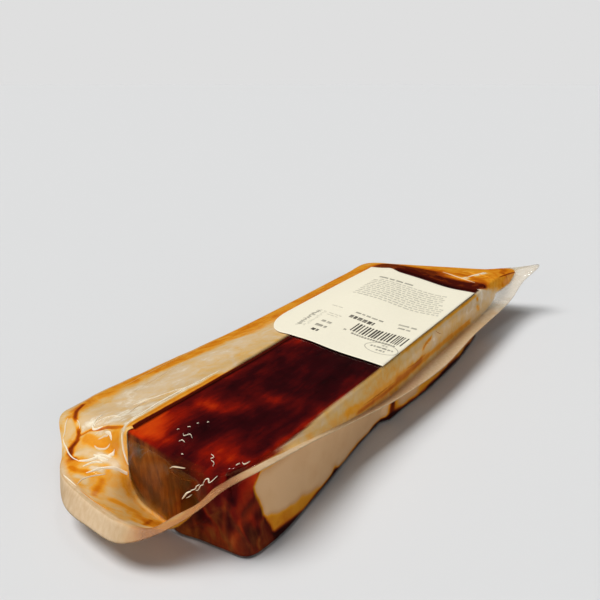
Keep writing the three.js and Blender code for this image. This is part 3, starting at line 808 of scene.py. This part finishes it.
def addStainsAndPaintedHighlights(fields, views, onLid):
    # each stain or painted highlight is a soft spot of its distance from its path; returns how far they stand
    # out from each view
    lift = {view: 0 for view in film["stainsAndPaintedHighlights"]}
    for view, rows in film["stainsAndPaintedHighlights"].items():
        u, v, where = views[view]
        for path, reach, height, cloudiness, tone in rows:
            mark = where * onLid * bump(distanceTo(path, u, v), reach)
            lift[view] = lift[view] + height * mark
            strength = clamp01(1.6 * mark)
            if view == "front":
                fields["milk"] = mix(fields["milk"], cloudiness, strength)
            else:
                fields["milk"] = np.maximum(fields["milk"], cloudiness * strength)
            fields["juice"] = mix(fields["juice"], tone, clamp01(1.5 * mark))
            fields["patchy"] = mix(fields["patchy"], 0.3, clamp01(1.5 * mark))
    return lift


def addRipples(points, fields):
    # each ripple lifts the clear film over the slab a little, with a trace of milk
    over = (points[:, 2] > 22) & (fields["milk"] < 0.1)
    for path, reach in film["ripples"]:
        ripple = over * bump(distanceTo(path, points[:, 0], points[:, 1]), reach)
        fields["milk"] += 0.006 * ripple
        points[:, 2] += 0.07 * ripple


def makePouch():
    # the film's rings with the numbers that colour them, then moved by low waves and the lift of the stain
    # marks and painted highlights
    rings, ringOut, lidCount = pouchRings()
    out = ringOut[:, None] + 0 * turns
    s = turns + 0 * out
    x, y, z = rings[..., 0], rings[..., 1], rings[..., 2]       # views, so to change them moves the rings
    left, near, far, right = filmSides(s)
    onLid = np.arange(len(rings))[:, None] < lidCount

    weldFrom = 1.98 - 0.9 * right
    welded = ease(weldFrom - 0.05, weldFrom + 0.05, out)
    corner = ease(1.6, 3.2, s) * ease(7.2, 6, s)      # the weld of the near right corner stays half clear
    tip = ease(11.6, 13.2, s) * ease(16.6, 15.6, s)   # and that of the far right tip clearer still
    clipped = ease(25.4, 25.95, s) * ease(28, 27.4, s)
    fields = {
        "milk": filmMilk(y, out, s),
        "juice": mix(filmJuice(x, y, out, s), 0.3 + 0.36 * corner - 0.3 * tip, welded),
        "patchy": 0.36 + 0.38 * near + 0.3 * far + 0.15 * right + left * (0.2 + 0.3 * ease(30, 5, y)),
        "weld": welded * (1 - clipped) * (1 - 0.55 * corner - 0.85 * tip),
    }
    waves = 0.3 * clouds(x, y, 9, 21) * ease(120, 60, y)
    inFront = near * ease(1.1, 0.95, out) * ease(2, 0.5, y)
    onRight = right * ease(1.1, 1.0, out)
    lift = addStainsAndPaintedHighlights(fields, {"plan": (x, y, 1 - inFront - onRight), "front": (x, z, inFront),
                              "side": (y, z, onRight)}, onLid)
    z += (waves + lift["plan"]) * ease(0.02, 0.1, out) * ease(2.5, 2.0, out) * onLid
    y -= lift["front"] * onLid

    milk = fields["milk"] * (1 - (0.58 * corner + 0.7 * tip) * welded)
    milk = np.maximum(milk, (0.92 - 0.58 * corner - 0.64 * tip) * welded)
    fields["milk"] = np.where(onLid, milk, milk * ease(1.1, 1.35, out))
    points, faces = closedSkin(rings, slabTop, lambda x, y: 0 * x)
    # inside the rings the film is clear, but for dark juice along the slab's far and left edges
    innerX, innerY, innerZ = points[out.size:].T
    clear = np.zeros(len(innerX))
    alongEdges = np.maximum(ease(slab["length"] - 7, slab["length"] - 3, innerY),
                            ease(4 - halfWidth, 2.6 - halfWidth, innerX))
    inner = {"milk": alongEdges * (innerZ > 20), "juice": clear + 1, "patchy": clear, "weld": clear}
    fields = {name: np.append(values, inner[name]) for name, values in fields.items()}
    addRipples(points, fields)
    return makePiece("film_pouch", points, faces, clearFilm, fields)


clearFilm = makeClearFilm()
pouchPiece = makePouch()

creases = {
    "step": 0.3,              # between cross sections
    "acrossCount": 7,         # points across a crease
    "steepest": 2.5,          # a crease ends where the film across it is deeper than this,
    "jump": 0.9,              # or goes up or down by more than this from one cross section to the next
    "sunk": 0.2,              # depth of a crease's root in the film
    "patchy": 0.15,
    # whitish creases, of tone 0.16 or less, are painted highlights along the folds' edges; the browner ones
    # are juice caught in the folds
    "lines": {                # path, half width, height, cloudiness, tone
        "plan": [
            ([(-40, 18), (-38, 20.5), (-34, 23.6), (-30.2, 28.2), (-26.9, 32), (-25.6, 38)],
             0.24, 0.4, 0.95, 0.04),
            ([(-33.4, 10.1), (-35.6, 15), (-36, 18), (-32.7, 24), (-29, 31)], 0.16, 0.3, 0.9, 0.12),
            ([(-25.4, 3), (-26.2, 10), (-26.6, 20), (-26.2, 32), (-25.6, 47)], 0.42, 0.6, 0.95, 0.0),
            ([(-43.8, 2.6), (-43, 4.6), (-41.5, 7.4), (-39, 9), (-34.4, 7.9)], 0.24, 0.4, 0.95, 0.03),
            ([(-46.6, 0.9), (-43.2, 2.9), (-37, 4.3), (-29, 3.7)], 0.16, 0.3, 0.95, 0.16),
            ([(-59.5, 5.2), (-57.4, 2.6), (-54.5, 0.1), (-51.9, -2.7)], 0.24, 0.3, 0.95, 0.04),
            ([(-45.2, 9), (-44.6, 5.6), (-42.4, 2.6), (-38.6, 3.6)], 0.3, 0.45, 0.95, 0.0),
            ([(-35.6, 2), (-33, 1.6), (-30.6, 0.4)], 0.34, 0.4, 0.95, 0.04),
            ([(-33.2, -9.4), (-31.8, -6.2), (-29.6, -4.8)], 0.3, 0.5, 0.95, 0.0),
            ([(-52, -2.6), (-49, -4.4), (-45.9, -5.8), (-42.6, -7.4), (-39.5, -8.4), (-36, -8.6)],
             0.24, 0.35, 0.95, 0.0),
            ([(-36.2, -8.6), (-34.4, -7.4), (-32.8, -5.4), (-31.2, -3.1), (-28.4, -2)], 0.44, 0.6, 0.95, 0.0),
            ([(-30.3, -10.5), (-29, -7.5), (-27.2, -4.7), (-24, -2.2), (-22.4, -1.3)], 0.4, 0.5, 0.95, 0.02),
            ([(-27.5, -15.9), (-28.7, -12.9), (-27.9, -9.6), (-26.3, -6.4)], 0.2, 0.35, 0.95, 0.04),
            ([(-33.8, -4.6), (-31, -4), (-28.6, -3.2)], 0.4, 0.6, 0.95, 0.0),
            ([(-30, -2.4), (-28.6, -0.8), (-27.2, -0.2)], 0.5, 0.5, 0.95, 0.02),
            ([(-37, 0), (-35.2, 1.2), (-33.2, 1.2)], 0.26, 0.35, 0.95, 0.12),
            ([(-36.5, -2), (-34.6, -2.2), (-32.4, -1.4), (-31.2, 0)], 0.3, 0.35, 0.95, 0.1),
            ([(-39.6, 0.9), (-38.6, 2), (-36.8, 2.5)], 0.2, 0.3, 0.95, 0.12),
            ([(-54.1, 5), (-51, 3.6), (-48.9, 1.9)], 0.16, 0.3, 0.95, 0.05),
            ([(-34.5, -15.5), (-30.5, -16.2), (-26.6, -16.8)], 0.2, 0.25, 0.95, 0.02),
            ([(-24, -17.4), (-16, -18), (-8, -17.6)], 0.14, 0.2, 0.95, 0.5),
            ([(-50, 24), (-51, 42), (-53, 60)], 0.18, 0.2, 0.85, 0.14),
            ([(-60.5, 30), (-61.5, 48), (-61.8, 70), (-61.5, 92)], 0.2, 0.25, 0.85, 0.3),
            ([(-4.5, 212), (4.4, 207.3), (11, 204.5), (17.6, 201.2)], 0.3, 0.4, 0.9, 0.12),
            ([(11, 209), (13, 215), (14.6, 222), (15.2, 227)], 0.5, 0.4, 0.9, 0.0),
            ([(6, 224), (13, 219), (22, 214)], 0.26, 0.35, 0.95, 0.45),
            ([(-30, 208), (-18, 212), (-6, 218)], 0.26, 0.3, 0.9, 0.66),
            ([(24.4, 221), (26, 234), (27.2, 242)], 0.3, 0.2, 0.9, 0.78),
        ],
        "front": [
            ([(-25.6, 23.6), (-24.8, 21), (-24.2, 18.6), (-23, 16.2), (-21.8, 13.9)], 0.36, 0.5, 0.95, 0.0),
            ([(3.7, 14.1), (4.8, 15.6), (6, 17.2), (7.6, 18.4)], 0.26, 0.35, 0.95, 0.0),
            ([(5.4, 15.2), (6.9, 16.4), (7.8, 17.4)], 0.12, 0.3, 0.9, 0.04),
            ([(7.4, 18.6), (9.2, 19.8), (9.8, 20.9), (11, 22)], 0.16, 0.35, 0.95, 0.0),
            ([(9.4, 19.4), (10.4, 20), (11.4, 21.8), (12.4, 22.4)], 0.11, 0.3, 0.9, 0.02),
            ([(12.2, 22.6), (13, 24.2), (13.8, 24.6), (14, 23.4), (15, 24.3), (16, 25.6)],
             0.12, 0.3, 0.95, 0.0),
            ([(-0.3, 22.9), (1.2, 24), (3.3, 24.7), (5.8, 25.2)], 0.18, 0.3, 0.7, 0.1),
            ([(-0.4, 22.1), (2.2, 21.3), (6, 21.4), (9.6, 22.7)], 0.14, 0.2, 0.2, 0.86),
        ],
        "side": [
            ([(66, 18.4), (78, 17.4), (92, 16.8)], 0.14, 0.15, 0.9, 0.7),
            ([(103, 18), (112, 17), (122, 17.4)], 0.16, 0.15, 0.9, 0.72),
            ([(132, 24.4), (136, 22), (139, 20.6)], 0.12, 0.1, 0.9, 0.76),
            ([(118.6, 20.6), (121, 22), (123, 22), (124.6, 21)], 0.12, 0.1, 0.9, 0.72),
        ],
    },
    "paintedGlints": [             # painted glints: the bright edges of the tight little folds over the glaze, painted whitish
        [(-5.9, 7.5), (-4.6, 6.6), (-3.7, 8.2), (-1.6, 6.9)], [(-3.8, 3.6), (-3.4, 4.5), (-1.9, 4.1)],
        [(8.8, 3.6), (10.4, 2.9), (10, 1.9)], [(10.6, 1.5), (12.2, 0.9), (12.8, -0.3)],
        [(17.9, 3.5), (18.3, 4.8)], [(18.6, 5.4), (19.4, 5.2), (19.9, 7.3)], [(-9, 8.1), (-8.6, 8.7)],
        [(-6.3, 14), (-5.9, 14.6)], [(-4.1, 16.2), (-3.7, 16.8)], [(1.3, -0.8), (1.9, -0.5)],
        [(-7.4, 11), (-6.6, 11.6)]],
    "paintedGlintLook": (0.08, 0.2, 0.95, 0.0),    # half width, height, cloudiness, tone
}


def taper(count, power):
    # sin(pi*t)^power from one end to the other, starting a little way in so that it is never 0
    return np.sin(math.pi * np.linspace(0.02, 0.98, count)) ** power


def fallenStrip(view, path, reach, u):
    # a strip along a path, reach * u to each side and narrower at its ends, fallen onto the film. Only the
    # longest stretch that lies on one face of the film is kept
    axis, start = fallFrom[view]
    path = np.array(path, float)
    padded = np.vstack([2 * path[0] - path[1], path, 2 * path[-1] - path[-2]])
    length = np.linalg.norm(np.diff(path, axis=0), axis=1).sum()
    steps = max(8, int(length / creases["step"]))
    line = railAt(padded, np.linspace(1, len(path) - 1e-6, steps))
    run = np.gradient(line, axis=0)
    run /= np.linalg.norm(run, axis=1, keepdims=True)
    across = np.stack([run[:, 1], -run[:, 0]], -1)[:, None]
    strip = line[:, None] + across * reach * u[None, :, None] * taper(steps, 0.4)[:, None, None]
    rest = dropOnto(pouchPiece, strip[..., 0], strip[..., 1], view)
    depth = rest[..., axis]
    middle = depth[:, len(u) // 2]
    missed = (np.abs(depth - start) < 1).any(1) | (np.ptp(depth, axis=1) > creases["steepest"])
    jumped = np.abs(np.diff(middle, prepend=middle[0])) > creases["jump"]
    ends = np.concatenate([[-1], np.flatnonzero(missed | jumped), [steps]])
    longest = np.argmax(np.diff(ends))
    return rest[ends[longest] + 1:ends[longest + 1]]


def makeCreasesAndPaintedHighlights():
    # each crease is a strip on the film with a low arch across it, height * (1 - u*u); the whitish ones and
    # the glints are painted highlights
    lines = [(view,) + row for view, rows in creases["lines"].items() for row in rows]
    lines += [("plan", path) + creases["paintedGlintLook"] for path in creases["paintedGlints"]]
    u = np.sin(np.linspace(-math.pi / 2, math.pi / 2, creases["acrossCount"]))
    bodies, looks = [], []
    for view, path, reach, height, cloudiness, tone in lines:
        strip = fallenStrip(view, path, reach, u)
        axis, start = fallFrom[view]
        away = math.copysign(1, start) * np.eye(3)[axis]
        arch = height * taper(len(strip), 0.5)[:, None] * (1 - u ** 2) - 0.02
        body = sheetBody(strip - creases["sunk"] * away, strip + arch[..., None] * away)
        bodies.append(body)
        looks.append(np.tile((cloudiness, tone, creases["patchy"], 0.0), (len(body[0]), 1)))
    points, faces = joined(bodies)
    fields = dict(zip(("milk", "juice", "patchy", "weld"), np.vstack(looks).T))
    makePiece("film_creases_and_painted_highlights", points, faces, clearFilm, fields)


makeCreasesAndPaintedHighlights()

label = {
    "right": 23.6,
    "left": -44.8,
    "near": (82, 5),              # place of its near border, how much further at the slab's left edge
    "corner": (32, 1.7),          # the rounded corner on the web: length along, and power of its curve
    "far": (183, 21, -17, 1.3),   # place of its far border, how much further at the left, from where, power
    "gap": 0.5,                   # above the film
    "thickness": 0.14,
    "stiffFrom": 21,              # right of this the paper stands out over the slab's rounded edge
    "grid": (72, 96),             # cells across and along
    "slabShare": 0.56,            # of the columns, that lie on the slab
    "fibre": 1.111,               # size of the paper's fibres, drawn coarse enough to show
    "paperTones": ("#e6dfc9", "#eee7d1"),
}


def makeLabelPaper():
    # coated thermal label paper, die cut: a warm matt white
    material, add = newMaterial("label paper, thermal")
    place = add("TexCoord").outputs["Object"]
    fibre = add("TexNoise", {"Vector": place, "Scale": patternScale(label["fibre"]), "Detail": 4})
    dark, light = (toLinear(tone) for tone in label["paperTones"])
    tone = add("Mix", {"Factor": fibre, "A": dark, "B": light}, data_type="RGBA")
    relief = add("Bump", {"Height": fibre, "Strength": 0.1, "Distance": 0.2 * mm})
    paper = add("BsdfPrincipled", {"Base Color": tone, "Roughness": 0.62, "IOR": 1.45, "Normal": relief})
    add("OutputMaterial", {"Surface": paper})
    return material


def labelBorders(x):
    # near and far border at x: straight lines, plus a superellipse for the near left corner and a power curve
    # for the far left one
    near, nearFurther = label["near"]
    far, farFurther, farFrom, farPower = label["far"]
    cornerLength, cornerPower = label["corner"]
    onSlab = clamp01((label["right"] - x) / (label["right"] + halfWidth))
    onWeb = clamp01((-halfWidth - x) / (-halfWidth - label["left"]))
    corner = 1 - (1 - onWeb ** cornerPower) ** (1 / cornerPower)
    farLeft = clamp01((farFrom - x) / (farFrom - label["left"])) ** farPower
    return near + nearFurther * onSlab + cornerLength * corner, far + farFurther * farLeft


def makeLabel():
    # a sheet between its borders, dropped onto the film and smoothed
    columns, rows = label["grid"]
    share, split = np.linspace(0, 1, columns + 1), label["slabShare"]
    onWeb = np.sin(math.pi / 2 * clamp01((share - split) / (1 - split)))
    x = np.where(share < split, mix(label["right"], -halfWidth, share / split),
                 -halfWidth - (-halfWidth - label["left"]) * onWeb)
    near, far = labelBorders(x)
    y = mix(near[None], far[None], np.linspace(0, 1, rows + 1)[:, None])
    x = x[None] + 0 * y
    z = dropOnto(pouchPiece, x, y, "plan")[..., 2] + label["gap"]
    stiff = x[0] > label["stiffFrom"]
    z[:, stiff] = np.maximum(z[:, stiff], z[:, ~stiff][:, :1] - 0.05)
    for _ in range(3):      # paper is stiffer than film: neighbours are averaged
        z[1:-1] = (z[:-2] + 2 * z[1:-1] + z[2:]) / 4
        z[:, 1:-1] = (z[:, :-2] + 2 * z[:, 1:-1] + z[:, 2:]) / 4
    under = np.stack([x, y, z], -1)
    over = under + np.array([0, 0, label["thickness"]])
    points, faces = sheetBody(under[:, ::-1], over[:, ::-1])
    return makePiece("weigh_label_paper", points, faces, makeLabelPaper(), {}, ["weigh_label"])


labelPiece = makeLabel()

labelPrint = {
    "thickness": 0.04,
    "skew": (100, -0.14, 170, 0.1),    # a line of print runs further along by this share of x, near and far
    "lines": [                         # from, to, place along, height, length of a word, darkness
        (-22, -2.5, 171.2, 1.5, 4.0, 0.6),
        (-22.8, -16.3, 121.5, 0.7, 2.2, 0.3), (-19.3, -12.8, 112.8, 0.7, 1.8, 0.3),
        (-19.6, -13.4, 110.8, 0.7, 1.6, 0.24), (-17.8, -12.0, 103.6, 2.0, 3.0, 0.5),
        (-18.0, -12.2, 98.6, 2.0, 3.0, 0.55), (-16.9, -13.4, 94.0, 2.0, 1.8, 0.95),
        (-9.8, 4.6, 121.4, 1.3, 2.6, 0.55), (-10.2, 2.2, 116.4, 2.9, 1.7, 0.85),
        (11.0, 19.6, 123.0, 1.3, 4.0, 0.55), (12.4, 18.2, 119.6, 1.3, 2.6, 0.5),
        (-5.8, -4.6, 103.2, 1.4, 1.2, 0.5), (-1.5, 19.9, 102.7, 1.3, 1.0, 0.65),
        (10.8, 21.2, 98.4, 1.2, 1.6, 0.6), (14.6, 18.6, 95.9, 1.1, 1.6, 0.55),
        (15.0, 17.6, 100.6, 1.0, 1.4, 0.5)],
    "paragraph": (-22.5, 16.5, 167.6, 2.55, 11),   # from, to, first line, spacing, lines
    "paragraphWords": (1.05, 2.4, 0.34),           # height, length of a word, darkness
    "bars": (-3.4, 21.6, 108.6, 8.4, 0.95),        # from, to, place along, length of a bar, darkness
    "oval": (16.0, 98.0, 7.4, 4.6, 0.3, 0.55),     # middle, half length, half height, line width, darkness
    "script": (-25.3, 94.6, 113.8, 0.75),          # a line written along the label: place, from, to, step
    # its two rows: offset, sway, shortest and longest stroke, width, tilt, darkness
    "scriptRows": [(0, 0.7, 1.2, 3.4, 0.34, 0.6, 0.72), (3.8, 0.5, 0.6, 1.6, 0.26, 0.5, 0.34)],
    "grain": 0.4545,                               # size of the specks of the print
    "inkTones": ("#eae3cd", "#35302a"),
}


def makeLabelInk():
    # thermal print: the paper's coat turned grey brown, darker where the print head stayed longer
    material, add = newMaterial("thermal print")
    strength = add("Attribute", attribute_name="ink").outputs["Fac"]
    place = add("TexCoord").outputs["Object"]
    grain = add("TexNoise", {"Vector": place, "Scale": patternScale(labelPrint["grain"]), "Detail": 2})
    lighter = add("Math", {0: strength, 1: 0.08}, operation="SUBTRACT")
    speckled = add("Math", {0: grain, 1: 0.16, 2: lighter}, operation="MULTIPLY_ADD", use_clamp=True)
    bare, printed = (toLinear(tone) for tone in labelPrint["inkTones"])
    tone = add("Mix", {"Factor": speckled, "A": bare, "B": printed}, data_type="RGBA")
    marks = add("BsdfPrincipled", {"Base Color": tone, "Roughness": 0.55})
    add("OutputMaterial", {"Surface": marks})
    return material


def dashes(rng, left, right, line, height, word, ink):
    # a line of words as plain dashes of uneven length
    found = []
    at = left
    while at < right - 0.3 * word:
        length = min(word * rng.uniform(0.55, 1.3), right - at)
        along = line + rng.uniform(-0.05, 0.05)
        found.append((at + length / 2, along, length, height, 0, ink * rng.uniform(0.85, 1.1)))
        at += length + 0.22 * word + 0.15
    return found


def bars(rng, left, right, along, height, ink):
    # plain bars and gaps of three widths each, which encode nothing
    found = []
    at = left
    while at < right:
        width = rng.choice([0.4, 0.6, 0.9])
        found.append((at + width / 2, along, width, height, 0, ink))
        at += width + rng.choice([0.5, 0.7, 1.0])
    return found


def printedMarks():
    # every mark is a small rectangle: middle across, middle along, length, height, turn, darkness
    rng = np.random.default_rng(21)
    marks = []
    for line in labelPrint["lines"]:
        marks += dashes(rng, *line)
    left, right, first, spacing, count = labelPrint["paragraph"]
    for row in range(count):
        begin = left + (0 if row else 2.5)                              # the first line is indented
        end = right + (4.5 if row > 6 else rng.uniform(-4, 1.5))
        marks += dashes(rng, begin, end, first - spacing * row, *labelPrint["paragraphWords"])
    marks += bars(rng, *labelPrint["bars"])
    midX, midY, across, along, width, ink = labelPrint["oval"]
    for turn in np.linspace(0, 2 * math.pi, 56, endpoint=False):
        right, up = across * math.cos(turn), along * math.sin(turn)
        heading = math.atan2(along * math.cos(turn), -across * math.sin(turn))
        marks.append((midX + right, midY + up, 0.8, width, heading, ink))
    across, start, end, step = labelPrint["script"]
    for along in np.arange(start, end, step):
        for offset, sway, shortest, longest, width, tilt, ink in labelPrint["scriptRows"]:
            marks.append((across + offset + rng.uniform(-sway, sway), along, rng.uniform(shortest, longest),
                          width, rng.uniform(-tilt, tilt), ink))
    return np.array(marks)


def makePrint():
    # each mark is a grid of 2 by 5 points, turned and skewed, laid on the paper
    x, along, length, height, turn, ink = (values[:, None, None] for values in printedMarks().T)
    u, v = np.meshgrid(np.linspace(-0.5, 0.5, 5), [-0.5, 0.5])
    u, v = u * length, v * height
    markX = x + u * np.cos(turn) - v * np.sin(turn)
    markY = along + u * np.sin(turn) + v * np.cos(turn)
    nearAt, nearSkew, farAt, farSkew = labelPrint["skew"]
    markY = markY + markX * mix(nearSkew, farSkew, clamp01((markY - nearAt) / (farAt - nearAt)))
    rest = dropOnto(labelPiece, markX, markY, "plan")
    up = np.array([0, 0, labelPrint["thickness"]])
    points, faces = joined([sheetBody(mark - 0.5 * up, mark + up) for mark in rest])
    fields = {"ink": np.repeat(ink, 2 * u[0].size)}
    makePiece("weigh_label_print", points, faces, makeLabelInk(), fields)


makePrint()

studio = {
    "floorTone": "#d1d1d1",
    "floorRings": [0.01, 0.3, 2, 20],     # radii in metres
    "floorSpokes": 96,
    "backdrop": "#dfdfdf",
    "daylight": ("#f4fbff", 0.11),        # tone and strength of the white room round the table
    "roomInFilm": 0.015,                  # how much of that room the film mirrors
    "lamps": {                            # direction it stands in, angle across, power, mirrored by the film
        "key": ((-0.42, -0.27, 1.0), 30, 3.24, False),
        "fill": ((1.3, -0.55, 0.03), 50, 1.8, False),
        "frontFill": ((-0.15, -1.2, 0.05), 40, 0.8, False),
        "sparkle": ((-0.105, 0.342, 0.933), 5, 0.15, True),
    },
}


def makeFloor():
    # a round floor, radius and angle as its two parameters
    radius = np.array(studio["floorRings"])[:, None]
    count = studio["floorSpokes"]
    turn = np.linspace(0, 2 * math.pi, count, endpoint=False)
    points = np.stack([radius * np.cos(turn), radius * np.sin(turn), 0 * radius * turn], -1).reshape(-1, 3)
    index = np.arange(len(points)).reshape(-1, count)
    index = np.column_stack([index, index[:, 0]])
    mesh = bpy.data.meshes.new("studio_floor")
    mesh.from_pydata(points.tolist(), [], gridFaces(index)[:, ::-1].tolist() + [list(range(count))])
    material, add = newMaterial("studio floor, pale")
    add("OutputMaterial", {"Surface": add("BsdfDiffuse", {"Color": toLinear(studio["floorTone"])})})
    mesh.materials.append(material)
    floor = bpy.data.objects.new("studio_floor", mesh)
    bpy.context.scene.collection.objects.link(floor)
    floor.visible_glossy = False      # film mirrors the lamps alone


def addLamp(name, direction, across, power, mirrored):
    # a far, wide softbox: a sun lamp that stands in a direction and is some degrees across
    data = bpy.data.lights.new(name, "SUN")
    data.energy = power
    data.angle = math.radians(across)
    lamp = bpy.data.objects.new(name, data)
    lamp.visible_glossy = mirrored
    lamp.location = direction
    lamp.rotation_euler = (-Vector(direction)).to_track_quat("-Z", "Y").to_euler()
    bpy.context.scene.collection.objects.link(lamp)


def lightStage():
    # the lamps, and a world that is a backdrop to the camera, a dim room to the film and daylight to the rest
    for name, settings in studio["lamps"].items():
        addLamp(name, *settings)
    world = bpy.data.worlds.new("studio")
    world.use_nodes = True
    world.node_tree.nodes.clear()
    add = partial(addNode, world.node_tree)
    path = add("LightPath")
    tone, strength = studio["daylight"]
    daylight = add("Background", {"Color": toLinear(tone), "Strength": strength})
    mirrored = add("Background", {"Strength": studio["roomInFilm"]})
    lit = add("MixShader", {0: path.outputs["Is Glossy Ray"], 1: daylight, 2: mirrored})
    backdrop = add("Background", {"Color": toLinear(studio["backdrop"])})
    both = add("MixShader", {0: path.outputs["Is Camera Ray"], 1: lit, 2: backdrop})
    add("OutputWorld", {"Surface": both})
    bpy.context.scene.world = world
    bpy.context.scene.view_settings.view_transform = "Standard"


makeFloor()
lightStage()
print("stage set")
